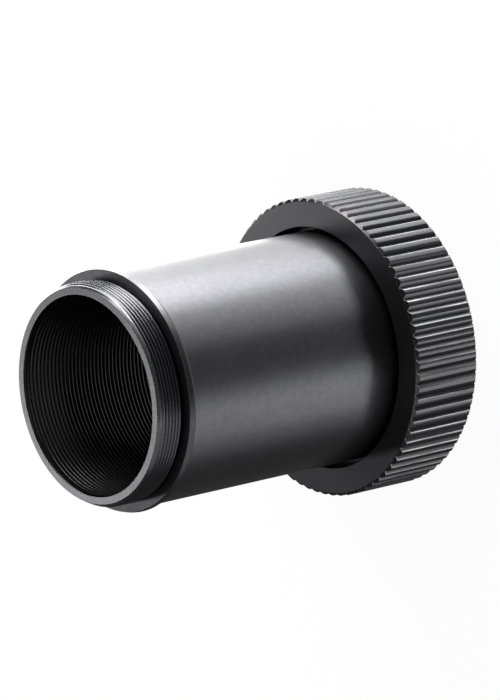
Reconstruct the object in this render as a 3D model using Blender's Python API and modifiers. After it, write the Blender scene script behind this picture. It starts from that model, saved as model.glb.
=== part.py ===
"""T-adapter for a catadioptric telescope, in metres, +Z up.

A turned aluminium barrel carries the male T-thread at its front end and a thin flange at its
rear end. A knurled slip ring, loose on the barrel, hooks over that flange and screws onto the
telescope's rear cell. The adapter stands on the slip ring's rear face, on the plane Z = 0, with
its optical axis along +Z and the T-thread on top.
"""
import math

import bmesh
import bpy
from mathutils import Matrix

MM = 0.001

# Driving dimensions of the barrel, from the T-thread outwards and inwards.
THREAD_D = 42.0 * MM            # major diameter of the male T-thread, M42 x 0.75
THREAD_ALLOWANCE = 0.03 * MM    # the crests stand this far inside the nominal radius
NOSE_WALL = 2.30 * MM           # from the thread's major radius down to the clear bore
NOSE_LENGTH = 5.75 * MM         # front rim to shoulder
LEAD_IN = 0.70 * MM             # radial depth of the chamfer that starts the thread
LEAD_IN_LENGTH = 1.25 * MM      # its axial length
RELIEF_WIDTH = 0.50 * MM        # undercut between the last thread and the shoulder
RELIEF_DEPTH = 0.75 * MM
SHOULDER_STEP = 1.20 * MM       # from the thread's major radius up to the barrel's outside
LIP_HEIGHT = 0.75 * MM          # raised band behind the shoulder, above the barrel's outside
LIP_WIDTH = 0.95 * MM
LIP_TAPER = 0.25 * MM           # the band narrows by this radius towards the shoulder
LIP_SLOPE = 0.85 * MM           # axial run of the slope from the band back to the barrel
BODY_LENGTH = 50.3 * MM         # shoulder to the slip ring's front face
FLANGE_THICKNESS = 3.0 * MM
FLANGE_BEARING = 1.45 * MM      # radial width on which the slip ring's lip pulls
FLANGE_EDGE = 0.25 * MM
BORE_EDGE = 0.20 * MM           # chamfer at the front of the bore
BORE_MOUTH = 0.60 * MM          # chamfer at the rear of the bore

# Driving dimensions of the slip ring.
RING_WIDTH = 15.1 * MM
RING_LIP = 3.2 * MM             # thickness of the inward lip at the ring's front
RING_CLEARANCE = 0.15 * MM      # radial room that lets the ring pass over the barrel's raised band
SEAT_GAP = 0.30 * MM            # axial play between the lip and the flange
THREAD_ROOM = 0.55 * MM         # radial room between the flange and the ring's thread
RING_WALL = 3.01 * MM           # thread to the roots of the knurl grooves
THREAD_ENTRY = 0.80 * MM        # chamfer at the mouth of the female thread
RING_RELIEF_WIDTH = 1.60 * MM   # undercut between the female thread and the lip
RING_RELIEF_DEPTH = 0.45 * MM
HOLE_EDGE = 0.20 * MM
REAR_CHAMFER = 0.40 * MM

# The knurl: straight V-grooves cut along the whole width of the ring.
KNURL_COUNT = 76
KNURL_DEPTH = 0.56 * MM
KNURL_ANGLE = math.radians(108)  # included angle of the cutting tool
KNURL_LAND = 0.06 * MM          # plain cone left between the front face and the groove ends
KNURL_OVERCUT = 0.20 * MM       # the cutter reaches this far outside the crests
CHAMFER_RUN = 0.50 * MM         # axial length of the front chamfer

# Facets round a full turn. The ring has two for each ridge, so that every groove cuts alike.
BARREL_STEPS = 144
RING_STEPS = 2 * KNURL_COUNT

# Sizes that follow from those above.
THREAD_R = THREAD_D / 2 - THREAD_ALLOWANCE
BORE_R = THREAD_D / 2 - NOSE_WALL
BARREL_R = THREAD_D / 2 + SHOULDER_STEP
LIP_R = BARREL_R + LIP_HEIGHT
HOLE_R = LIP_R + RING_CLEARANCE
FLANGE_R = HOLE_R + FLANGE_BEARING
RING_THREAD_R = FLANGE_R + THREAD_ROOM
KNURL_ROOT_R = RING_THREAD_R + RING_WALL
KNURL_CREST_R = KNURL_ROOT_R + KNURL_DEPTH
FACE_R = KNURL_ROOT_R - KNURL_LAND

RING_SEAT_Z = RING_WIDTH - RING_LIP
FLANGE_FRONT_Z = RING_SEAT_Z - SEAT_GAP
FLANGE_REAR_Z = FLANGE_FRONT_Z - FLANGE_THICKNESS
SHOULDER_Z = RING_WIDTH + BODY_LENGTH
RIM_Z = SHOULDER_Z + NOSE_LENGTH

MERGE = 0.00001
SMOOTH_ANGLE = math.radians(28)


def clear_scene():
    """Remove the objects that the file opens with."""
    for obj in list(bpy.data.objects):
        bpy.data.objects.remove(obj, do_unlink=True)


def new_collection(name):
    collection = bpy.data.collections.new(name)
    bpy.context.scene.collection.children.link(collection)
    return collection


def make_material(name, colour, roughness, metallic):
    """One Principled BSDF with a plain colour."""
    material = bpy.data.materials.new(name)
    material.use_nodes = True
    shader = material.node_tree.nodes["Principled BSDF"]
    shader.inputs["Base Color"].default_value = (*colour, 1.0)
    shader.inputs["Roughness"].default_value = roughness
    shader.inputs["Metallic"].default_value = metallic
    return material


def turned(name, profile, steps, collection):
    """A closed profile of (radius, height) points, turned round Z with a Screw modifier."""
    mesh = bpy.data.meshes.new(name)
    count = len(profile)
    edges = [(i, (i + 1) % count) for i in range(count)]
    mesh.from_pydata([(radius, 0.0, height) for radius, height in profile], edges, [])
    obj = bpy.data.objects.new(name, mesh)
    collection.objects.link(obj)
    screw = obj.modifiers.new("turn", "SCREW")
    screw.axis = "Z"
    screw.angle = math.tau
    screw.steps = steps
    screw.render_steps = steps
    screw.use_merge_vertices = True
    screw.merge_threshold = MERGE
    return obj


def barrel_profile():
    """The barrel's section, down its outside from the front rim and back up the bore."""
    thread_end_z = SHOULDER_Z + RELIEF_WIDTH
    lip_rear_z = SHOULDER_Z - LIP_WIDTH
    return [
        (BORE_R + BORE_EDGE, RIM_Z),
        (THREAD_R - LEAD_IN, RIM_Z),
        (THREAD_R, RIM_Z - LEAD_IN_LENGTH),
        (THREAD_R, thread_end_z),
        (THREAD_R - RELIEF_DEPTH, thread_end_z - RELIEF_DEPTH / 2),
        (THREAD_R - RELIEF_DEPTH, SHOULDER_Z),
        (LIP_R - LIP_TAPER, SHOULDER_Z),
        (LIP_R, lip_rear_z),
        (BARREL_R, lip_rear_z - LIP_SLOPE),
        (BARREL_R, FLANGE_FRONT_Z),
        (FLANGE_R - FLANGE_EDGE, FLANGE_FRONT_Z),
        (FLANGE_R, FLANGE_FRONT_Z - FLANGE_EDGE),
        (FLANGE_R, FLANGE_REAR_Z + FLANGE_EDGE),
        (FLANGE_R - FLANGE_EDGE, FLANGE_REAR_Z),
        (BORE_R + BORE_MOUTH, FLANGE_REAR_Z),
        (BORE_R, FLANGE_REAR_Z + BORE_MOUTH),
        (BORE_R, RIM_Z - BORE_EDGE),
    ]


def ring_profile():
    """The slip ring's section before knurling, down its outside and back up its inside."""
    relief_z = RING_SEAT_Z - RING_RELIEF_WIDTH
    return [
        (HOLE_R + HOLE_EDGE, RING_WIDTH),
        (FACE_R, RING_WIDTH),
        (KNURL_CREST_R, RING_WIDTH - CHAMFER_RUN),
        (KNURL_CREST_R, REAR_CHAMFER),
        (KNURL_CREST_R - REAR_CHAMFER, 0.0),
        (RING_THREAD_R + THREAD_ENTRY, 0.0),
        (RING_THREAD_R, THREAD_ENTRY),
        (RING_THREAD_R, relief_z),
        (RING_THREAD_R + RING_RELIEF_DEPTH, relief_z + RING_RELIEF_DEPTH),
        (RING_THREAD_R + RING_RELIEF_DEPTH, RING_SEAT_Z),
        (HOLE_R, RING_SEAT_Z),
        (HOLE_R, RING_WIDTH - HOLE_EDGE),
    ]


def knurl_cutter(collection):
    """All the V-grooves as one cutter: a three-sided prism with its edge on each groove's root."""
    height = KNURL_DEPTH + KNURL_OVERCUT
    half_width = height * math.tan(KNURL_ANGLE / 2)
    # A three-sided prism of radius 1 has its edge at +Y and its base at Y = -0.5.
    stretch = Matrix.Diagonal((half_width / math.sin(math.tau / 3), height / 1.5, 1.0, 1.0))
    edge_inwards = Matrix.Rotation(math.pi / 2, 4, "Z") @ stretch
    place = Matrix.Translation((KNURL_ROOT_R + height / 1.5, 0.0, RING_WIDTH / 2))
    grooves = bmesh.new()
    for index in range(KNURL_COUNT):
        turn = Matrix.Rotation(math.tau * index / KNURL_COUNT, 4, "Z")
        bmesh.ops.create_cone(
            grooves, cap_ends=True, segments=3, radius1=1.0, radius2=1.0,
            depth=1.5 * RING_WIDTH, matrix=turn @ place @ edge_inwards)
    bmesh.ops.recalc_face_normals(grooves, faces=grooves.faces)
    mesh = bpy.data.meshes.new("knurl_cutter")
    grooves.to_mesh(mesh)
    grooves.free()
    cutter = bpy.data.objects.new("knurl_cutter", mesh)
    collection.objects.link(cutter)
    cutter.hide_render = True
    cutter.display_type = "WIRE"
    return cutter


def cut(obj, cutter):
    """Take the cutter's shape out of an object, and weld the points that fall together on a cut."""
    boolean = obj.modifiers.new("cut", "BOOLEAN")
    boolean.operation = "DIFFERENCE"
    boolean.solver = "EXACT"
    boolean.object = cutter
    weld = obj.modifiers.new("weld", "WELD")
    weld.merge_threshold = MERGE


def settle(obj, material):
    """Keep the evaluated mesh, shade its turned faces smooth and give it its material."""
    graph = bpy.context.evaluated_depsgraph_get()
    mesh = bpy.data.meshes.new_from_object(obj.evaluated_get(graph))
    mesh.name = obj.name
    obj.modifiers.clear()
    obj.data = mesh
    mesh.shade_smooth()
    mesh.set_sharp_from_angle(angle=SMOOTH_ANGLE)
    mesh.materials.clear()
    mesh.materials.append(material)


def make_barrel(parts):
    """The body: male T-thread end, shoulder with its raised band, straight tube and rear flange."""
    barrel = turned("barrel", barrel_profile(), BARREL_STEPS, parts)
    satin = make_material("satin gunmetal anodised aluminium", (0.10, 0.10, 0.105), 0.38, 0.9)
    settle(barrel, satin)


def make_slip_ring(parts, cutters):
    """The loose ring that pulls the flange onto the telescope, turned and then knurled."""
    ring = turned("slip_ring", ring_profile(), RING_STEPS, parts)
    cut(ring, knurl_cutter(cutters))
    black = make_material("black anodised aluminium", (0.055, 0.055, 0.058), 0.42, 0.8)
    settle(ring, black)


def main():
    clear_scene()
    parts = new_collection("t_adapter")
    cutters = new_collection("cutters")
    make_barrel(parts)
    make_slip_ring(parts, cutters)


main()
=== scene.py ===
"""The looks of a T-adapter: a turned barrel, its knurled slip ring and a small studio.

Both pieces are surfaces of revolution worked out with numpy. A piece is a grid of rows, which run
down the outside of its section and back up the inside, and of columns, which go once round the
axis. Threads and the bore's grooves are rows that climb along a helix, and the knurl is a radius
that changes from column to column. Everything is in metres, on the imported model's own axes: the
optical axis is Z and the adapter stands on the slip ring's rear face at Z = 0.
"""

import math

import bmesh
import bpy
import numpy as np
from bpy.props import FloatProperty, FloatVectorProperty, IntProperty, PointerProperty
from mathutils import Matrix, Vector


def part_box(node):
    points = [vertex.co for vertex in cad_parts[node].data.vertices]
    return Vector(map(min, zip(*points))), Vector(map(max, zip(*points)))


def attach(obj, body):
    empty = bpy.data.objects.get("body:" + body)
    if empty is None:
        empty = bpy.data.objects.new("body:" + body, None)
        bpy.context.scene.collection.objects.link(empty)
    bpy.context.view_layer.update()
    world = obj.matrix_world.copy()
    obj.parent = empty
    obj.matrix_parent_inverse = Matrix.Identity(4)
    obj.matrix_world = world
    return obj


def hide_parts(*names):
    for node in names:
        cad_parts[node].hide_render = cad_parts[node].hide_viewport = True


bl_info = {
    "name": "T-adapter with slip ring",
    "version": (1, 0, 0),
    "blender": (4, 5, 0),
    "location": "3D View > Sidebar > T-adapter",
    "description": "Dresses a turned barrel and its knurled slip ring, and lights them",
    "category": "Object",
}

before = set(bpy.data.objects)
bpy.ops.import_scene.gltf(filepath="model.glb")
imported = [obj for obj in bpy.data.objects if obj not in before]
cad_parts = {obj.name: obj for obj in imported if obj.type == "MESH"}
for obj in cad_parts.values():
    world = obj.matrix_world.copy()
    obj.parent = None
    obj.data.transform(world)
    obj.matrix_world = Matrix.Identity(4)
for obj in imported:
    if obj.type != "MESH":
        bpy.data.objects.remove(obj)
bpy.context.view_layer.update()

BARREL_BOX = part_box("barrel")
RING_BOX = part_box("slip_ring")
MM = 0.001

# Grid density and edges
BARREL_COLUMNS = 224         # columns once round the barrel
EDGE_STEPS = 3               # faces across a rounded edge
SUPPORT = 1.6                # how far past a rounded edge its support row stands, in setbacks
LONGEST_SETBACK = 0.3        # share of a flat that one of its rounded ends may use
MERGE = 1e-7                 # points nearer than this are one point
LEAD_IN_TOP = 0.15           # share of the lead-in above the first turn of the thread
REAR_STEP = 0.03 * MM        # least depth of the rear chamfer under the knurl

# One turn of each thread form as (share of the pitch, share of the depth) pairs
CAMERA_THREAD_FORM = (
    (0.0, 0.0), (0.10, 0.06), (0.24, 0.50), (0.38, 0.95),
    (0.50, 1.0), (0.62, 0.95), (0.76, 0.50), (0.90, 0.06))
BORE_GROOVE_FORM = ((0.0, 0.0), (0.30, 0.10), (0.60, 1.0), (0.85, 0.55))
TELESCOPE_THREAD_FORM = ((0.0, 0.0), (0.13, 0.0), (0.44, 1.0), (0.69, 1.0))

# Where the columns lie across half a ridge of the knurl, as shares of half the pitch
HALF_RIDGE = (0.0, 0.06, 0.25, 0.43, 0.50, 0.57, 0.70)

# Sizes of the marks in the finishes. Blasting grit is far finer than a pixel, so its grain is drawn
# at 0.3 mm, the finest that shows.
BLASTED_GRAIN = 0.30 * MM
BLASTED_BLOTCH = 1.3 * MM
SATIN_PATCH = 5.0 * MM
WORN_SPECK = 0.5 * MM
TUBE_MARKS = 0.20 * MM
BORE_MARKS = 0.25 * MM
FACE_MARKS = 0.15 * MM
TOOL_LINE_WIDTH = 0.15 * MM
TOOL_LINE_LENGTH = 8.0 * MM
MARK_HEIGHT = 0.01 * MM
GRAIN_HEIGHT = 0.02 * MM

# Where the finishes, the painted shade and the painted highlight change. A pair is where a
# change starts and where it ends.
NOSE_BLEND = 0.3 * MM                   # length of the change in front of the shoulder
RIM_SKIN = 0.02 * MM                    # the front rim lies within this of the barrel's end
VALLEY_START = 0.24 * MM                # depth in the thread where the painted shade starts to deepen
FLANGE_BLEND = (0.1 * MM, 1.5 * MM)     # height above the flange over which its painted shade ends
GROOVE_SHADE_BLEND = (0.05 * MM, 0.22 * MM)    # depth in the bore's grooves over which their painted shade sets in
WORN_BLEND = (0.45 * MM, 0.1 * MM)      # depth behind the slip ring's face
ROOT_START = 0.15 * MM                  # depth in the knurl where the painted shade starts to deepen
PALE_EDGE_DEPTH = 0.085 * MM               # depth of a ridge's edge under the crests
PALE_EDGE_REACH = 0.05 * MM                # how far from that depth the pale edge reaches

# The studio. Its lamps stand a little nearer than its cards, apart from one that stands close, so
# that its reflection fades across the slip ring's face.
LAMP_DISTANCE = 0.95
NEAR_LAMP_DISTANCE = 0.16
CARD_RADIUS = 1.0
CARD_STEPS = 13              # points along each side of a card
FLOOR_SIZE = 6.0
VIEW_DEPTH = 20.0            # how far the camera sees
PAPER_SHARE = 0.93           # share of the paper's white that doesn't depend on its light
ROOM_FILL = 0.8              # strength of the white world where it only fills


def size(name, description, millimetres, **limits):
    """A length property in metres whose default is given in millimetres."""
    return FloatProperty(
        name=name, description=description, default=millimetres * MM, precision=5,
        subtype="DISTANCE", unit="LENGTH", **limits)


def colour(name, description, code):
    """A colour property from an sRGB hex code."""
    return FloatVectorProperty(
        name=name, description=description, default=linear(code), subtype="COLOR",
        size=3, min=0.0, max=1.0)


def linear(code):
    """Linear red, green and blue of an sRGB hex code such as "#8a8a8c"."""
    values = np.array([int(code[i:i + 2], 16) for i in (1, 3, 5)]) / 255
    low = values / 12.92
    high = ((values + 0.055) / 1.055) ** 2.4
    return tuple(float(v) for v in np.where(values <= 0.04045, low, high))


class BarrelSizes(bpy.types.PropertyGroup):
    """Sizes of the turned barrel."""
    bore_radius: size("Bore radius", "Clear radius of the light path", 18.70)
    bore_edge: size("Bore edge", "Chamfer at the front of the bore", 0.2)
    bore_mouth: size("Bore mouth", "Chamfer at the rear of the bore", 0.6)
    groove_pitch: size("Groove pitch", "Spacing of the bore's anti-reflection grooves", 0.88)
    groove_depth: size("Groove depth", "Depth of those grooves", 0.38)
    groove_start: size("Groove run-in", "Length over which the grooves deepen from the rim", 1.2)
    thread_radius: size("Thread radius", "Crest radius of the male camera thread", 20.97)
    thread_pitch: size("Thread pitch", "Pitch of the male camera thread", 0.75)
    thread_depth: size("Thread depth", "Depth of the male camera thread", 0.42)
    nose_length: size("Nose length", "Front rim to the shoulder", 5.75)
    lead_in: size("Lead-in", "Radial depth of the chamfer that starts the thread", 0.7)
    lead_in_length: size("Lead-in length", "Axial length of that chamfer", 1.25)
    relief_width: size("Relief width", "Undercut between thread and shoulder", 0.5)
    relief_depth: size("Relief depth", "Depth of that undercut", 0.75)
    tube_radius: size("Tube radius", "Outside radius of the plain tube", 22.2)
    lip_height: size("Lip height", "Height of the raised band behind the shoulder", 0.75)
    lip_width: size("Lip width", "Width of the raised band", 0.95)
    lip_taper: size("Lip taper", "Radius that the raised band loses towards the shoulder", 0.25)
    lip_slope: size("Lip slope", "Length of the slope behind the raised band", 0.85)
    flange_thickness: size("Flange thickness", "Thickness of the hidden rear flange", 3.0)
    flange_edge: size("Flange edge", "Chamfer of the flange", 0.25)
    edge_radius: size("Edge radius", "Radius of the turned edges", 0.06)


class RingSizes(bpy.types.PropertyGroup):
    """Sizes of the knurled slip ring."""
    ridges: IntProperty(name="Ridges", description="Ridges round the knurl", default=76, min=12)
    crest_radius: size("Crest radius", "Radius of the knurl's crests", 28.66)
    groove_depth: size("Groove depth", "Depth of the knurl's V-grooves", 0.56)
    groove_angle: FloatProperty(
        name="Groove angle", description="Included angle of the V-grooves",
        default=math.radians(98), subtype="ANGLE", unit="ROTATION")
    root_radius: size("Groove root radius", "Radius at the bottom of a V-groove", 0.04)
    crest_edge: size("Ridge edge", "Softness of the edges along a ridge", 0.12)
    land: size("Land", "Plain cone between the front face and the groove ends", 0.06)
    chamfer_run: size("Chamfer run", "Axial length of the front chamfer", 0.50)
    rear_chamfer: size("Rear chamfer", "Chamfer round the rear face", 0.4)
    hole_radius: size("Hole radius", "Radius of the hole in the front face", 23.1)
    hole_edge: size("Hole edge", "Edge break of that hole", 0.2)
    lip: size("Lip", "Thickness of the inward lip", 3.2)
    thread_radius: size("Thread radius", "Crest radius of the female telescope thread", 24.85)
    thread_pitch: size("Thread pitch", "Pitch of the female telescope thread", 25.4 / 24)
    thread_depth: size("Thread depth", "Depth of the female telescope thread", 0.55)
    thread_entry: size("Thread entry", "Radius at the mouth of the female thread", 25.9)
    relief_width: size("Relief width", "Undercut between the thread and the lip", 1.6)
    relief_radius: size("Relief radius", "Radius of that undercut", 25.55)
    edge_radius: size("Edge radius", "Radius of the turned edges", 0.07)


class Finishes(bpy.types.PropertyGroup):
    """Colours and gloss of the anodised surfaces."""
    gunmetal: colour("Gunmetal", "Reflected colour of the barrel's outside", "#636366")
    black: colour("Black", "Reflected colour of the slip ring's knurl", "#56565a")
    # Pale ridge edges: worn, and lightened further as a painted highlight
    wear_and_highlight: colour("Rubbed", "Reflected colour of the knurl's rubbed ridge edges", "#b0b0b0")
    face: colour("Face", "Reflected colour of the slip ring's turned face", "#4e4e50")
    bore: colour("Bore", "Colour of the matt black bore", "#040404")
    worn: colour("Worn", "Colour of the thinned finish on the ring's front edge", "#6e5c53")
    satin: FloatProperty(
        name="Satin roughness", description="Roughness of the barrel's outside", default=0.34)
    nose_share: FloatProperty(
        name="Nose share", description="Roughness of the thread end, as a share of the barrel's",
        default=0.72)
    turned: FloatProperty(
        name="Turned roughness", description="Roughness of the ring's turned face", default=0.42)
    knurled: FloatProperty(
        name="Knurled roughness", description="Roughness of the knurl", default=0.28)
    bore_rough: FloatProperty(
        name="Bore roughness", description="Roughness of the bore's grooves", default=0.34)
    # Reflection left where the painted shade is deepest
    shade_share: FloatProperty(
        name="Root share", description="Reflected share left where the dye is deepest",
        default=0.15)


class Studio(bpy.types.PropertyGroup):
    """Camera, lamps and floor."""
    turn: FloatProperty(
        name="Turn", description="Turns camera and lamps together round the adapter",
        default=math.radians(-1.87), subtype="ANGLE", unit="ROTATION")
    elevation: FloatProperty(
        name="Elevation", description="Height of the camera above the horizon",
        default=math.asin(0.629), subtype="ANGLE", unit="ROTATION")
    roll: FloatProperty(
        name="Roll", description="Lays the picture on its side, as the adapter lay in the photo",
        default=math.radians(101.8), subtype="ANGLE", unit="ROTATION")
    aim_side: size("Aim to the side", "Where the camera aims, beside the axis", 2.18)
    aim_height: size("Aim height", "Where the camera aims, above the floor", 31.2)
    distance: size("Distance", "Camera to the point that it aims at", 1077.4)
    lens: FloatProperty(
        name="Lens", description="Focal length for a 36 mm long side", default=294.43,
        subtype="DISTANCE_CAMERA")
    floor: colour("Floor", "Colour of the paper floor", "#f2f2f2")


def rounded(corners, radius):
    """An outline whose inner corners are replaced by short curves.

    corners has the shape (corner, column, 2). With the unit directions a and b from a corner P to
    its two neighbours, the curve is (1 - s)^2 (P + t a) + 2 s (1 - s) P + s^2 (P + t b) for s from
    0 to 1, where the setback t is what a circle of that radius needs. A support point past each
    end of the curve keeps the shading of the flats clear of it.
    """
    corner = corners[1:-1]
    before = corners[:-2] - corner
    after = corners[2:] - corner
    before_length = np.linalg.norm(before, axis=-1, keepdims=True)
    after_length = np.linalg.norm(after, axis=-1, keepdims=True)
    before = before / before_length
    after = after / after_length
    cosine = np.clip((before * after).sum(axis=-1, keepdims=True), -1.0, 1.0)
    shorter = np.minimum(before_length, after_length)
    setback = np.minimum(radius / np.tan(np.arccos(cosine) / 2), LONGEST_SETBACK * shorter)
    s = np.linspace(0.0, 1.0, EDGE_STEPS + 1).reshape(1, -1, 1, 1)
    start = (corner + setback * before)[:, None]
    end = (corner + setback * after)[:, None]
    curve = (1 - s) ** 2 * start + 2 * s * (1 - s) * corner[:, None] + s ** 2 * end
    lead = (corner + SUPPORT * setback * before)[:, None]
    trail = (corner + SUPPORT * setback * after)[:, None]
    points = np.concatenate([lead, curve, trail], axis=1).reshape(-1, *corners.shape[1:])
    return np.concatenate([corners[:1], points, corners[-1:]])


def outline(columns, *corners):
    """(radius, height) corners spread over the columns. A value is a number or one per column."""
    spread = [[np.broadcast_to(value, columns + 1) for value in corner] for corner in corners]
    return np.moveaxis(np.array(spread, dtype=float), 1, 2)


def screw(start, end, pitch, form, columns):
    """Heights and depth shares of rows that climb a right-hand helix between two heights.

    A row at phase p meets the column at turn u at the height start + d pitch p + pitch u, less one
    pitch where the rows run upwards, where d is 1 upwards and -1 downwards. Heights are held
    between start and end, where the rows close up into a circle. A row's share of the thread's
    depth depends on its phase alone.
    """
    upwards = end > start
    direction = 1.0 if upwards else -1.0
    turns = math.ceil(abs(end - start) / pitch) + 1
    share, depth = np.array(form).T
    phase = (np.arange(turns)[:, None] + share[None, :]).reshape(-1, 1)
    turn = np.linspace(0.0, 1.0, columns + 1)[None, :]
    height = start + direction * pitch * phase + pitch * turn - (pitch if upwards else 0.0)
    height = np.clip(height, min(start, end), max(start, end))
    return height, np.tile(depth, turns).reshape(-1, 1)


def lathe(name, rows, marks, materials, turns):
    """A closed body from rows of (radius, height) at each column's turn.

    A point is (radius cos turn, radius sin turn, height). Four neighbours make a face, the last
    row joins the first, and marks gives the material of the faces below each row. Points that fall
    together, at the seam and where a helix runs out, are merged.
    """
    rows = np.concatenate([rows, rows[:1]])
    radius = rows[..., 0]
    height = rows[..., 1]
    points = np.stack([radius * np.cos(turns), radius * np.sin(turns), height], axis=-1)
    row_count, column_count = radius.shape
    index = np.arange(row_count * column_count).reshape(row_count, column_count)
    corners = (index[:-1, :-1], index[1:, :-1], index[1:, 1:], index[:-1, 1:])
    faces = np.stack(corners, axis=-1).reshape(-1, 4)
    mesh = bpy.data.meshes.new(name)
    mesh.vertices.add(points.size // 3)
    mesh.vertices.foreach_set("co", points.ravel())
    mesh.loops.add(faces.size)
    mesh.loops.foreach_set("vertex_index", faces.ravel())
    mesh.polygons.add(len(faces))
    mesh.polygons.foreach_set("loop_start", np.arange(0, faces.size, 4))
    mesh.polygons.foreach_set("material_index", np.repeat(marks, column_count - 1))
    mesh.update(calc_edges=True)
    merged = bmesh.new()
    merged.from_mesh(mesh)
    bmesh.ops.remove_doubles(merged, verts=merged.verts, dist=MERGE)
    merged.to_mesh(mesh)
    merged.free()
    mesh.shade_smooth()
    for material in materials:
        mesh.materials.append(material)
    piece = bpy.data.objects.new(name, mesh)
    bpy.context.scene.collection.objects.link(piece)
    return piece


def stack(*stretches):
    """Joins stretches of rows, each with the number of its material, into one set of rows."""
    rows = np.concatenate([stretch for stretch, _ in stretches])
    marks = np.concatenate([np.full(len(stretch), mark) for stretch, mark in stretches])
    return rows, marks


def barrel_rows(s):
    """Rows of the barrel: rim, camera thread, shoulder, tube, flange, then up the grooved bore."""
    columns = BARREL_COLUMNS
    rim_z = BARREL_BOX[1][2]
    rear_z = BARREL_BOX[0][2]
    flange_radius = BARREL_BOX[1][0]
    shoulder_z = rim_z - s.nose_length
    thread_end_z = shoulder_z + s.relief_width
    relief_z = thread_end_z - s.relief_depth / 2
    relief_radius = s.thread_radius - s.relief_depth
    lip_radius = s.tube_radius + s.lip_height
    lip_rear_z = shoulder_z - s.lip_width
    flange_z = rear_z + s.flange_thickness
    bore_top_z = rim_z - s.bore_edge
    lead_in_top_z = rim_z - LEAD_IN_TOP * s.lead_in_length

    rim = rounded(outline(
        columns,
        (s.bore_radius, bore_top_z),
        (s.bore_radius + s.bore_edge, rim_z),
        (s.thread_radius - s.lead_in, rim_z),
        (s.thread_radius - (1 - LEAD_IN_TOP) * s.lead_in, lead_in_top_z)), s.edge_radius)

    height, share = screw(lead_in_top_z, relief_z, s.thread_pitch, CAMERA_THREAD_FORM, columns)
    turned_radius = np.interp(
        height,
        (relief_z, thread_end_z, rim_z - s.lead_in_length, rim_z),
        (relief_radius, s.thread_radius, s.thread_radius, s.thread_radius - s.lead_in))
    radius = np.minimum(s.thread_radius - s.thread_depth * share, turned_radius)
    thread = np.stack([radius, height], axis=-1)

    outside = rounded(outline(
        columns,
        (relief_radius, relief_z),
        (relief_radius, shoulder_z),
        (lip_radius - s.lip_taper, shoulder_z),
        (lip_radius, lip_rear_z),
        (s.tube_radius, lip_rear_z - s.lip_slope),
        (s.tube_radius, flange_z),
        (flange_radius - s.flange_edge, flange_z),
        (flange_radius, flange_z - s.flange_edge),
        (flange_radius, rear_z + s.flange_edge),
        (flange_radius - s.flange_edge, rear_z),
        (s.bore_radius + s.bore_mouth, rear_z),
        (s.bore_radius, rear_z + s.bore_mouth)), s.edge_radius)

    bore_end_z = rear_z + s.bore_mouth
    height, share = screw(bore_end_z, bore_top_z, s.groove_pitch, BORE_GROOVE_FORM, columns)
    from_ends = np.minimum(height - bore_end_z, bore_top_z - height)
    deepening = np.clip(from_ends / s.groove_start, 0.0, 1.0)
    bore = np.stack([s.bore_radius + s.groove_depth * share * deepening, height], axis=-1)

    return stack((rim, 0), (thread, 0), (outside, 0), (bore, 1))


def ridge_turns(ridges):
    """Turns of the knurl's columns in radians, the same across each half of each ridge."""
    half = np.array(HALF_RIDGE)
    across = np.concatenate([half, [1.0], 2.0 - half[:0:-1]]) / 2
    turns = (np.arange(ridges)[:, None] + across[None, :]).ravel() / ridges
    return np.append(turns, 1.0) * math.tau


def knurl_radius(turns, s):
    """Radius of the knurl at each column.

    At the distance x from the nearest groove, a V whose sides are a hyperbola stands at
    root + (sqrt(x^2 + e^2) - e) / tan(half the angle). The smaller of that and the crest is taken
    with a soft edge: (v + c - sqrt((v - c)^2 + k^2)) / 2.
    """
    pitch = math.tau / s.ridges
    offset = np.abs((turns + pitch / 2) % pitch - pitch / 2) * s.crest_radius
    root = s.crest_radius - s.groove_depth
    side = root + (np.hypot(offset, s.root_radius) - s.root_radius) / math.tan(s.groove_angle / 2)
    return (side + s.crest_radius - np.hypot(side - s.crest_radius, s.crest_edge)) / 2


def ring_rows(s, turns):
    """Rows of the slip ring: front face, knurl, rear face, then up the thread and past the lip."""
    columns = len(turns) - 1
    top_z = RING_BOX[1][2]
    seat_z = top_z - s.lip
    relief_z = seat_z - s.relief_width
    # The thread runs out over the first third of the undercut
    thread_end_z = relief_z + s.relief_width / 3
    face_radius = s.crest_radius - s.groove_depth - s.land
    knurl = knurl_radius(turns, s)
    chamfer = s.chamfer_run / (s.crest_radius - face_radius)
    rear_radius = np.minimum(s.crest_radius - s.rear_chamfer, knurl - REAR_STEP)

    outside = rounded(outline(
        columns,
        (s.hole_radius, top_z - s.hole_edge),
        (s.hole_radius + s.hole_edge, top_z),
        (face_radius, top_z),
        (knurl, top_z - chamfer * (knurl - face_radius)),
        (knurl, knurl - rear_radius),
        (rear_radius, 0.0),
        (s.thread_entry, 0.0)), s.edge_radius)
    knurled = (outside[..., 0].mean(axis=1) > face_radius).astype(int)

    height, share = screw(0.0, thread_end_z, s.thread_pitch, TELESCOPE_THREAD_FORM, columns)
    turned_radius = np.interp(
        height,
        (0.0, s.thread_entry - s.thread_radius, relief_z, thread_end_z),
        (s.thread_entry, s.thread_radius, s.thread_radius, s.relief_radius))
    radius = np.maximum(s.thread_radius + s.thread_depth * share, turned_radius)
    thread = np.stack([radius, height], axis=-1)

    inside = rounded(outline(
        columns,
        (s.relief_radius, thread_end_z),
        (s.relief_radius, seat_z),
        (s.hole_radius, seat_z),
        (s.hole_radius, top_z - s.hole_edge)), s.edge_radius)

    rows, marks = stack((outside, 0), (thread, 0), (inside, 0))
    marks[:len(outside)] = knurled
    return rows, marks


def add(tree, kind, inputs=None, **settings):
    """Adds a node, sets its properties, and fills or links its inputs by name or number."""
    node = tree.nodes.new(kind)
    for name, value in settings.items():
        setattr(node, name, value)
    for name, value in (inputs or {}).items():
        if isinstance(value, bpy.types.NodeSocket):
            tree.links.new(value, node.inputs[name])
        else:
            node.inputs[name].default_value = value
    return node


def new_material(name):
    """A material without any nodes, and its node tree."""
    material = bpy.data.materials.new(name)
    material.use_nodes = True
    material.node_tree.nodes.clear()
    return material, material.node_tree


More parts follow.
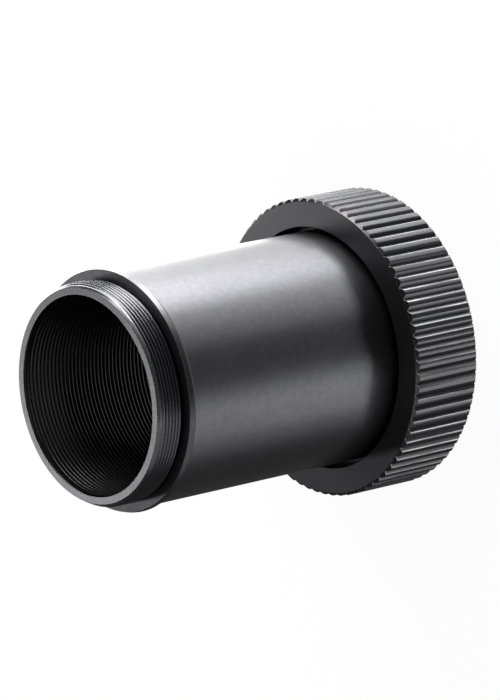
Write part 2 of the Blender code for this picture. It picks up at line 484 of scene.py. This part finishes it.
def section_place(tree):
    """Distance from the axis and height of the shaded point."""
    place = add(tree, "ShaderNodeTexCoord").outputs["Object"]
    across = add(tree, "ShaderNodeVectorMath", {
        0: place, 1: (1.0, 1.0, 0.0)}, operation="MULTIPLY")
    radius = add(tree, "ShaderNodeVectorMath", {0: across.outputs[0]}, operation="LENGTH")
    height = add(tree, "ShaderNodeSeparateXYZ", {0: place})
    return radius.outputs["Value"], height.outputs["Z"]


def turning_marks(tree, spacing):
    """Fine rings left by the lathe: noise over radius and height, so it runs round the axis."""
    radius, height = section_place(tree)
    section = add(tree, "ShaderNodeCombineXYZ", {"X": radius, "Y": height})
    return add(tree, "ShaderNodeTexNoise", {
        "Vector": section.outputs[0], "Scale": 1 / spacing, "Detail": 2.0}).outputs["Fac"]


def grain(tree, width, detail=2.0):
    """Even noise of that width, such as bead blasting leaves."""
    place = add(tree, "ShaderNodeTexCoord").outputs["Object"]
    return add(tree, "ShaderNodeTexNoise", {
        "Vector": place, "Scale": 1 / width, "Detail": detail}).outputs["Fac"]


def satin_gunmetal(finishes, barrel):
    """Gunmetal anodised aluminium, turned and then bead blasted: an even satin with faint turning.

    The thread and the front rim were cut after the blasting, so they are smoother and shinier. The
    thread's valleys and the flange, which shows only through the gap inside the slip ring, are
    darkened with painted shade.
    """
    material, tree = new_material("satin gunmetal anodised aluminium")
    rim_z = BARREL_BOX[1][2]
    shoulder_z = rim_z - barrel.nose_length
    flange_z = BARREL_BOX[0][2] + barrel.flange_thickness
    radius, height = section_place(tree)

    def either_side(tube, nose):
        """A value for the tube and one for the thread end, which meet at the shoulder."""
        return add(tree, "ShaderNodeMapRange", {
            "Value": height, "From Min": shoulder_z, "From Max": shoulder_z + NOSE_BLEND,
            "To Min": tube, "To Max": nose}).outputs[0]

    blasted = grain(tree, BLASTED_GRAIN)
    blotches = grain(tree, BLASTED_BLOTCH, 4.0)
    mottle = add(tree, "ShaderNodeMath", {0: blasted, 1: blotches}, operation="ADD")
    mottled = add(tree, "ShaderNodeMapRange", {
        "Value": mottle.outputs[0], "From Max": 2.0,
        "To Min": either_side(0.6, 0.95), "To Max": either_side(1.4, 1.15)})
    # Depth under the blank that was threaded, a cylinder with a lead-in at its front
    blank = add(tree, "ShaderNodeMapRange", {
        "Value": height, "From Min": rim_z - barrel.lead_in_length, "From Max": rim_z,
        "To Min": barrel.thread_radius, "To Max": barrel.thread_radius - barrel.lead_in})
    depth = add(tree, "ShaderNodeMath", {0: blank.outputs[0], 1: radius}, operation="SUBTRACT")
    # Painted shade in the thread's valleys, deeper with the depth under the blank
    valley = add(tree, "ShaderNodeMapRange", {
        "Value": depth.outputs[0], "From Min": VALLEY_START, "From Max": barrel.thread_depth,
        "To Min": 1.0, "To Max": finishes.shade_share})
    # The flat rim lies deep under that blank too, but isn't a valley
    rim = add(tree, "ShaderNodeMath", {
        0: height, 1: rim_z - RIM_SKIN}, operation="GREATER_THAN")
    valley = add(tree, "ShaderNodeMath", {
        0: valley.outputs[0], 1: rim.outputs[0]}, operation="MAXIMUM")
    # Painted shade on the flange, which shows only through the gap inside the slip ring
    flange = add(tree, "ShaderNodeMapRange", {
        "Value": height, "From Min": flange_z + FLANGE_BLEND[0],
        "From Max": flange_z + FLANGE_BLEND[1],
        "To Min": finishes.shade_share, "To Max": 1.0})
    # Painted shade of the valleys and of the flange together
    painted_shade = add(tree, "ShaderNodeMath", {
        0: valley.outputs[0], 1: flange.outputs[0]}, operation="MULTIPLY")
    shade = add(tree, "ShaderNodeMath", {
        0: mottled.outputs[0], 1: painted_shade.outputs[0]}, operation="MULTIPLY")
    tone = add(tree, "ShaderNodeVectorMath", {
        0: tuple(finishes.gunmetal), "Scale": shade.outputs[0]}, operation="SCALE")
    satin = add(tree, "ShaderNodeMapRange", {
        "Value": grain(tree, SATIN_PATCH),
        "To Min": finishes.satin - 0.03, "To Max": finishes.satin + 0.03})
    rough = add(tree, "ShaderNodeMath", {
        0: satin.outputs[0], 1: either_side(1.0, finishes.nose_share)}, operation="MULTIPLY")
    turned = add(tree, "ShaderNodeBump", {
        "Height": turning_marks(tree, TUBE_MARKS), "Strength": 0.10, "Distance": MARK_HEIGHT})
    relief = add(tree, "ShaderNodeBump", {
        "Height": blasted, "Strength": either_side(0.25, 0.03), "Distance": GRAIN_HEIGHT,
        "Normal": turned.outputs[0]})
    shader = add(tree, "ShaderNodeBsdfPrincipled", {
        "Base Color": tone.outputs[0], "Metallic": 1.0, "Roughness": rough.outputs[0],
        "Normal": relief.outputs[0]})
    add(tree, "ShaderNodeOutputMaterial", {"Surface": shader.outputs[0]})
    return material


def matt_bore(finishes, barrel):
    """Matt black anodised bore whose ridges shine, with painted shade deep in its grooves."""
    material, tree = new_material("matt black anodised bore")
    shade = add(tree, "ShaderNodeMapRange", {
        "Value": turning_marks(tree, BORE_MARKS), "To Min": 0.7, "To Max": 1.3})
    tone = add(tree, "ShaderNodeVectorMath", {
        0: tuple(finishes.bore), "Scale": shade.outputs[0]}, operation="SCALE")
    radius, _ = section_place(tree)
    # Painted shade: the grooves' reflection fades with depth, and the ridges keep theirs
    groove_shade = add(tree, "ShaderNodeMapRange", {
        "Value": radius, "From Min": barrel.bore_radius + GROOVE_SHADE_BLEND[0],
        "From Max": barrel.bore_radius + GROOVE_SHADE_BLEND[1], "To Min": 0.9, "To Max": 0.08})
    shader = add(tree, "ShaderNodeBsdfPrincipled", {
        "Base Color": tone.outputs[0], "Roughness": finishes.bore_rough,
        "Specular IOR Level": groove_shade.outputs[0]})
    add(tree, "ShaderNodeOutputMaterial", {"Surface": shader.outputs[0]})
    return material


def turned_black(finishes, ring):
    """Black anodised aluminium as the lathe left it: a smooth dark sheen with fine rings.

    Inside the hole, which is seen as black, painted shade leaves hardly any reflection.
    """
    material, tree = new_material("turned black anodised aluminium")
    turned = turning_marks(tree, FACE_MARKS)
    rough = add(tree, "ShaderNodeMapRange", {
        "Value": turned, "To Min": finishes.turned - 0.04, "To Max": finishes.turned + 0.04})
    _, height = section_place(tree)
    top_z = RING_BOX[1][2]
    # Painted shade: below the front face, the hole's wall and all inside it are darkened
    share = add(tree, "ShaderNodeMapRange", {
        "Value": height, "From Min": top_z - 2 * ring.hole_edge,
        "From Max": top_z - 0.5 * ring.hole_edge, "To Min": finishes.shade_share, "To Max": 1.0})
    tone = add(tree, "ShaderNodeVectorMath", {
        0: tuple(finishes.face), "Scale": share.outputs[0]}, operation="SCALE")
    relief = add(tree, "ShaderNodeBump", {
        "Height": turned, "Strength": 0.15, "Distance": MARK_HEIGHT})
    shader = add(tree, "ShaderNodeBsdfPrincipled", {
        "Base Color": tone.outputs[0], "Metallic": 1.0, "Roughness": rough.outputs[0],
        "Normal": relief.outputs[0]})
    add(tree, "ShaderNodeOutputMaterial", {"Surface": shader.outputs[0]})
    return material


def knurled_black(finishes, ring):
    """Black anodised knurl: fine tool lines along the ridges, the finish thinned at the front edge.

    One edge of each ridge is pale, worn and lightened further by a painted highlight on the lit
    side. The groove roots are darkened with painted shade.
    """
    material, tree = new_material("knurled black anodised aluminium")
    place = add(tree, "ShaderNodeTexCoord").outputs["Object"]
    drawn = add(tree, "ShaderNodeMapping", {
        "Vector": place,
        "Scale": (1 / TOOL_LINE_WIDTH, 1 / TOOL_LINE_WIDTH, 1 / TOOL_LINE_LENGTH)},
        vector_type="POINT")
    lines = add(tree, "ShaderNodeTexNoise", {
        "Vector": drawn.outputs[0], "Scale": 1.0, "Detail": 3.0}).outputs["Fac"]
    radius, height = section_place(tree)
    top_z = RING_BOX[1][2]

    # Brown specks along the front edge
    front = add(tree, "ShaderNodeMapRange", {
        "Value": height, "From Min": top_z - WORN_BLEND[0], "From Max": top_z - WORN_BLEND[1]})
    specks = add(tree, "ShaderNodeMapRange", {
        "Value": grain(tree, WORN_SPECK, 3.0), "From Min": 0.52, "From Max": 0.62})
    worn = add(tree, "ShaderNodeMath", {
        0: front.outputs[0], 1: specks.outputs[0]}, operation="MULTIPLY")
    tone = add(tree, "ShaderNodeMix", {
        "Factor": worn.outputs[0], "A": (*finishes.black, 1.0), "B": (*finishes.worn, 1.0)},
        data_type="RGBA")

    # A ridge's edges lie just under the turned blank that was knurled, a cylinder with a chamfer
    # at its front. The groove roots stand at whole turns of the pitch, so the edge past half a
    # pitch is paled fully, worn and with a painted highlight, and the other edge only a little.
    blank = add(tree, "ShaderNodeMapRange", {
        "Value": height, "From Min": top_z - ring.chamfer_run, "From Max": top_z,
        "To Min": ring.crest_radius, "To Max": ring.crest_radius - ring.groove_depth - ring.land})
    depth = add(tree, "ShaderNodeMath", {0: blank.outputs[0], 1: radius}, operation="SUBTRACT")
    on_edge = add(tree, "ShaderNodeMath", {
        0: depth.outputs[0], 1: PALE_EDGE_DEPTH, 2: PALE_EDGE_REACH}, operation="COMPARE")
    axes = add(tree, "ShaderNodeSeparateXYZ", {0: place})
    turn = add(tree, "ShaderNodeMath", {
        0: axes.outputs["Y"], 1: axes.outputs["X"]}, operation="ARCTAN2")
    pitches = add(tree, "ShaderNodeMath", {
        0: turn.outputs[0], 1: ring.ridges / math.tau}, operation="MULTIPLY")
    phase = add(tree, "ShaderNodeMath", {0: pitches.outputs[0]}, operation="FRACT")
    # Painted highlight: the edge on the lit side gets the full pale, the other a little
    lit_side = add(tree, "ShaderNodeMapRange", {
        "Value": phase.outputs[0], "From Min": 0.45, "From Max": 0.55,
        "To Min": 0.15, "To Max": 1.0})
    wear_and_highlight = add(tree, "ShaderNodeMath", {
        0: on_edge.outputs[0], 1: lit_side.outputs[0]}, operation="MULTIPLY")
    patchy = add(tree, "ShaderNodeMapRange", {"Value": lines, "From Min": 0.35, "From Max": 0.6})
    wear_and_highlight = add(tree, "ShaderNodeMath", {
        0: wear_and_highlight.outputs[0], 1: patchy.outputs[0]}, operation="MULTIPLY")
    tone = add(tree, "ShaderNodeMix", {
        "Factor": wear_and_highlight.outputs[0], "A": tone.outputs["Result"], "B": (*finishes.wear_and_highlight, 1.0)},
        data_type="RGBA")

    # Painted shade in the groove roots, deeper with the depth under the blank
    painted_shade = add(tree, "ShaderNodeMapRange", {
        "Value": depth.outputs[0], "From Min": ROOT_START, "From Max": ring.groove_depth,
        "To Min": 1.0, "To Max": finishes.shade_share})
    tone = add(tree, "ShaderNodeVectorMath", {
        0: tone.outputs["Result"], "Scale": painted_shade.outputs[0]}, operation="SCALE")
    rough = add(tree, "ShaderNodeMapRange", {
        "Value": lines, "To Min": finishes.knurled - 0.06, "To Max": finishes.knurled + 0.06})
    relief = add(tree, "ShaderNodeBump", {
        "Height": lines, "Strength": 0.25, "Distance": GRAIN_HEIGHT})
    shader = add(tree, "ShaderNodeBsdfPrincipled", {
        "Base Color": tone.outputs[0], "Metallic": 1.0, "Roughness": rough.outputs[0],
        "Normal": relief.outputs[0]})
    add(tree, "ShaderNodeOutputMaterial", {"Surface": shader.outputs[0]})
    return material


def is_seen(tree):
    """1 for rays of the camera, of reflections and through glass, 0 for light that only fills."""
    path = add(tree, "ShaderNodeLightPath").outputs
    seen = add(tree, "ShaderNodeMath", {
        0: path["Is Camera Ray"], 1: path["Is Glossy Ray"]}, operation="MAXIMUM")
    return add(tree, "ShaderNodeMath", {
        0: seen.outputs[0], 1: path["Is Transmission Ray"]}, operation="MAXIMUM").outputs[0]


def paper(studio):
    """White background paper: plain matt white that still shows the adapter's shadow."""
    material, tree = new_material("white background paper")
    share = add(tree, "ShaderNodeMath", {0: is_seen(tree), 1: PAPER_SHARE}, operation="MULTIPLY")
    matt = add(tree, "ShaderNodeBsdfDiffuse", {"Color": (*studio.floor, 1.0)})
    bright = add(tree, "ShaderNodeEmission", {"Color": (1.0, 1.0, 1.0, 1.0), "Strength": 1.0})
    mixed = add(tree, "ShaderNodeMixShader", {
        0: share.outputs[0], 1: matt.outputs[0], 2: bright.outputs[0]})
    add(tree, "ShaderNodeOutputMaterial", {"Surface": mixed.outputs[0]})
    return material


def lit_card(brightness):
    """Card that looks as bright as that share of the white paper, from black to grey."""
    material, tree = new_material("lit card")
    glow = add(tree, "ShaderNodeEmission", {"Strength": brightness})
    add(tree, "ShaderNodeOutputMaterial", {"Surface": glow.outputs[0]})
    return material


def direction_to(studio, azimuth, elevation):
    """Unit vectors from the adapter's middle, from angles in degrees.

    With the azimuth a, which is 0 on the camera's side, and the elevation e, a vector is
    (sin a cos e, -cos a cos e, sin e).
    """
    a = studio.turn + np.radians(azimuth)
    e = np.radians(elevation)
    return np.stack([np.sin(a) * np.cos(e), -np.cos(a) * np.cos(e), np.sin(e)], axis=-1)


def paper_floor(studio):
    """The floor: a square of one face in the plane Z = 0."""
    u, v = np.meshgrid((-0.5, 0.5), (-0.5, 0.5))
    corners = FLOOR_SIZE * np.stack([u.ravel(), v.ravel(), np.zeros(u.size)], axis=-1)
    mesh = bpy.data.meshes.new("floor")
    mesh.from_pydata(corners.tolist(), [], [(0, 1, 3, 2)])
    mesh.materials.append(paper(studio))
    floor = bpy.data.objects.new("floor", mesh)
    bpy.context.scene.collection.objects.link(floor)
    # The adapter was photographed lying down, so its lamps stood level with what is the floor here.
    # The floor lets their light through and stays out of the metal's reflections.
    floor.visible_glossy = False
    floor.visible_diffuse = False
    floor.visible_shadow = False


def bent_card(studio, name, azimuths, elevations, brightness):
    """A card on a sphere round the adapter, between two azimuths and two elevations.

    A point of the card is the sphere's middle plus its radius times the direction to the point's
    azimuth and elevation. Only reflections see the card.
    """
    azimuth, elevation = np.meshgrid(
        np.linspace(*azimuths, CARD_STEPS), np.linspace(*elevations, CARD_STEPS))
    points = CARD_RADIUS * direction_to(studio, azimuth, elevation)
    points[..., 2] += studio.aim_height
    index = np.arange(CARD_STEPS ** 2).reshape(CARD_STEPS, CARD_STEPS)
    faces = np.stack([index[:-1, :-1], index[1:, :-1], index[1:, 1:], index[:-1, 1:]], axis=-1)
    mesh = bpy.data.meshes.new(name)
    mesh.from_pydata(points.reshape(-1, 3).tolist(), [], faces.reshape(-1, 4).tolist())
    mesh.materials.append(lit_card(brightness))
    card = bpy.data.objects.new(name, mesh)
    bpy.context.scene.collection.objects.link(card)
    card.visible_camera = False
    card.visible_shadow = False
    card.visible_diffuse = False


def softbox(studio, name, azimuths, elevations, brightness, distance=LAMP_DISTANCE):
    """A lamp panel that faces the adapter, between two azimuths and two elevations.

    At the distance d and the middle elevation e it is 2 d cos e tan(half its azimuths) wide and
    2 d tan(half its elevations) long. brightness is its radiance, where white paper is 1.
    """
    half_turn = math.radians(azimuths[1] - azimuths[0]) / 2
    half_rise = math.radians(elevations[1] - elevations[0]) / 2
    elevation = sum(elevations) / 2
    width = 2 * distance * math.cos(math.radians(elevation)) * math.tan(half_turn)
    length = 2 * distance * math.tan(half_rise)
    lamp = bpy.data.lights.new(name, "AREA")
    lamp.shape = "RECTANGLE"
    lamp.size = width
    lamp.size_y = length
    lamp.energy = brightness * math.pi * width * length
    holder = bpy.data.objects.new(name, lamp)
    direction = Vector(direction_to(studio, sum(azimuths) / 2, elevation))
    place = Vector((0.0, 0.0, studio.aim_height)) + distance * direction
    facing = direction.to_track_quat("Z", "Y").to_matrix().to_4x4()
    holder.matrix_world = Matrix.Translation(place) @ facing
    holder.visible_camera = False
    bpy.context.scene.collection.objects.link(holder)


def white_room():
    """An even white world: as bright as paper where it is seen, softer where it only fills."""
    world = bpy.data.worlds.new("white room")
    bpy.context.scene.world = world
    world.use_nodes = True
    tree = world.node_tree
    tree.nodes.clear()
    strength = add(tree, "ShaderNodeMapRange", {
        "Value": is_seen(tree), "To Min": ROOM_FILL, "To Max": 1.0})
    background = add(tree, "ShaderNodeBackground", {
        "Color": (1.0, 1.0, 1.0, 1.0), "Strength": strength.outputs[0]})
    add(tree, "ShaderNodeOutputWorld", {"Surface": background.outputs[0]})


def place_camera(studio):
    """The camera aims beside the axis, from above, and lies on its side."""
    turn = Matrix.Rotation(studio.turn, 4, "Z")
    aim = turn @ Vector((studio.aim_side, 0.0, studio.aim_height))
    look = (
        turn
        @ Matrix.Rotation(math.pi / 2 - studio.elevation, 4, "X")
        @ Matrix.Rotation(-studio.roll, 4, "Z"))
    data = bpy.data.cameras.new("camera")
    data.lens = studio.lens
    data.clip_end = VIEW_DEPTH
    camera = bpy.data.objects.new("camera", data)
    bpy.context.scene.collection.objects.link(camera)
    backwards = (look.to_3x3() @ Vector((0.0, 0.0, 1.0))).normalized()
    camera.matrix_world = Matrix.Translation(aim + studio.distance * backwards) @ look
    bpy.context.scene.camera = camera


class TADAPTER_OT_barrel(bpy.types.Operator):
    """Turns the barrel, with its camera thread and grooved bore"""
    bl_idname = "t_adapter.barrel"
    bl_label = "Barrel"

    def execute(self, context):
        sizes = context.scene.t_adapter_barrel
        rows, marks = barrel_rows(sizes)
        finishes = context.scene.t_adapter_finishes
        turns = np.linspace(0.0, math.tau, BARREL_COLUMNS + 1)
        materials = (satin_gunmetal(finishes, sizes), matt_bore(finishes, sizes))
        piece = lathe("turned_barrel", rows, marks, materials, turns)
        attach(piece, "barrel")
        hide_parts("barrel")
        return {"FINISHED"}


class TADAPTER_OT_slip_ring(bpy.types.Operator):
    """Turns and knurls the slip ring, with its telescope thread"""
    bl_idname = "t_adapter.slip_ring"
    bl_label = "Slip ring"

    def execute(self, context):
        sizes = context.scene.t_adapter_ring
        finishes = context.scene.t_adapter_finishes
        turns = ridge_turns(sizes.ridges)
        rows, marks = ring_rows(sizes, turns)
        materials = (turned_black(finishes, sizes), knurled_black(finishes, sizes))
        piece = lathe("knurled_slip_ring", rows, marks, materials, turns)
        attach(piece, "slip_ring")
        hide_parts("slip_ring")
        return {"FINISHED"}


class TADAPTER_OT_studio(bpy.types.Operator):
    """Sets up the camera, the floor, the lamps and the cards"""
    bl_idname = "t_adapter.studio"
    bl_label = "Studio"

    def execute(self, context):
        studio = context.scene.t_adapter_studio
        context.scene.view_settings.view_transform = "Standard"
        place_camera(studio)
        white_room()
        paper_floor(studio)
        bent_card(studio, "front_card", (-32, 44), (-46, 9), 0.02)
        bent_card(studio, "low_front_card", (-85, -46), (-85, 70), 0.55)
        bent_card(studio, "low_card", (-234, -85), (-85, 70), 0.08)
        bent_card(studio, "top_card", (-41, 102), (18, 70), 0.0)
        bent_card(studio, "back_card", (84, 126), (-38, 70), 0.0)
        softbox(studio, "low_lamp", (-70, -22), (-50, -40), 2.3)
        softbox(studio, "side_lamp", (28, 70), (-50, -38), 1.8)
        softbox(studio, "key_lamp", (62, 90), (-16, 7), 11.0)
        softbox(studio, "main_lamp", (67, 102), (-38, -16), 9.6)
        softbox(studio, "wide_lamp", (102, 140), (-30, -16), 9.6)
        softbox(studio, "back_lamp", (102, 142), (-40, -30), 3.3)
        softbox(studio, "edge_lamp", (142, 178), (-40, -14), 5.6)
        softbox(studio, "upper_lamp", (82, 112), (10, 40), 8.0)
        softbox(studio, "rear_lamp", (178, 186), (36, 41), 7.5)
        softbox(studio, "face_lamp", (158, 172), (20, 36), 5.8, NEAR_LAMP_DISTANCE)
        return {"FINISHED"}


class TADAPTER_PT_panel(bpy.types.Panel):
    """The adapter's pieces, sizes and finishes"""
    bl_idname = "TADAPTER_PT_panel"
    bl_label = "T-adapter"
    bl_space_type = "VIEW_3D"
    bl_region_type = "UI"
    bl_category = "T-adapter"

    def draw(self, context):
        for operator, group in PANEL_ROWS:
            self.layout.operator(operator.bl_idname)
            settings = getattr(context.scene, group)
            box = self.layout.box()
            for name in settings.__annotations__:
                box.prop(settings, name)
        finishes = context.scene.t_adapter_finishes
        for name in finishes.__annotations__:
            self.layout.prop(finishes, name)


PANEL_ROWS = (
    (TADAPTER_OT_barrel, "t_adapter_barrel"),
    (TADAPTER_OT_slip_ring, "t_adapter_ring"),
    (TADAPTER_OT_studio, "t_adapter_studio"),
)
GROUPS = {
    "t_adapter_barrel": BarrelSizes,
    "t_adapter_ring": RingSizes,
    "t_adapter_finishes": Finishes,
    "t_adapter_studio": Studio,
}
CLASSES = (*GROUPS.values(), *(operator for operator, _ in PANEL_ROWS), TADAPTER_PT_panel)


def register():
    for cls in CLASSES:
        bpy.utils.register_class(cls)
    for name, group in GROUPS.items():
        setattr(bpy.types.Scene, name, PointerProperty(type=group))


def unregister():
    for name in GROUPS:
        delattr(bpy.types.Scene, name)
    for cls in reversed(CLASSES):
        bpy.utils.unregister_class(cls)


def main():
    register()
    bpy.ops.t_adapter.barrel()
    bpy.ops.t_adapter.slip_ring()
    bpy.ops.t_adapter.studio()


if __name__ == "__main__":
    main()
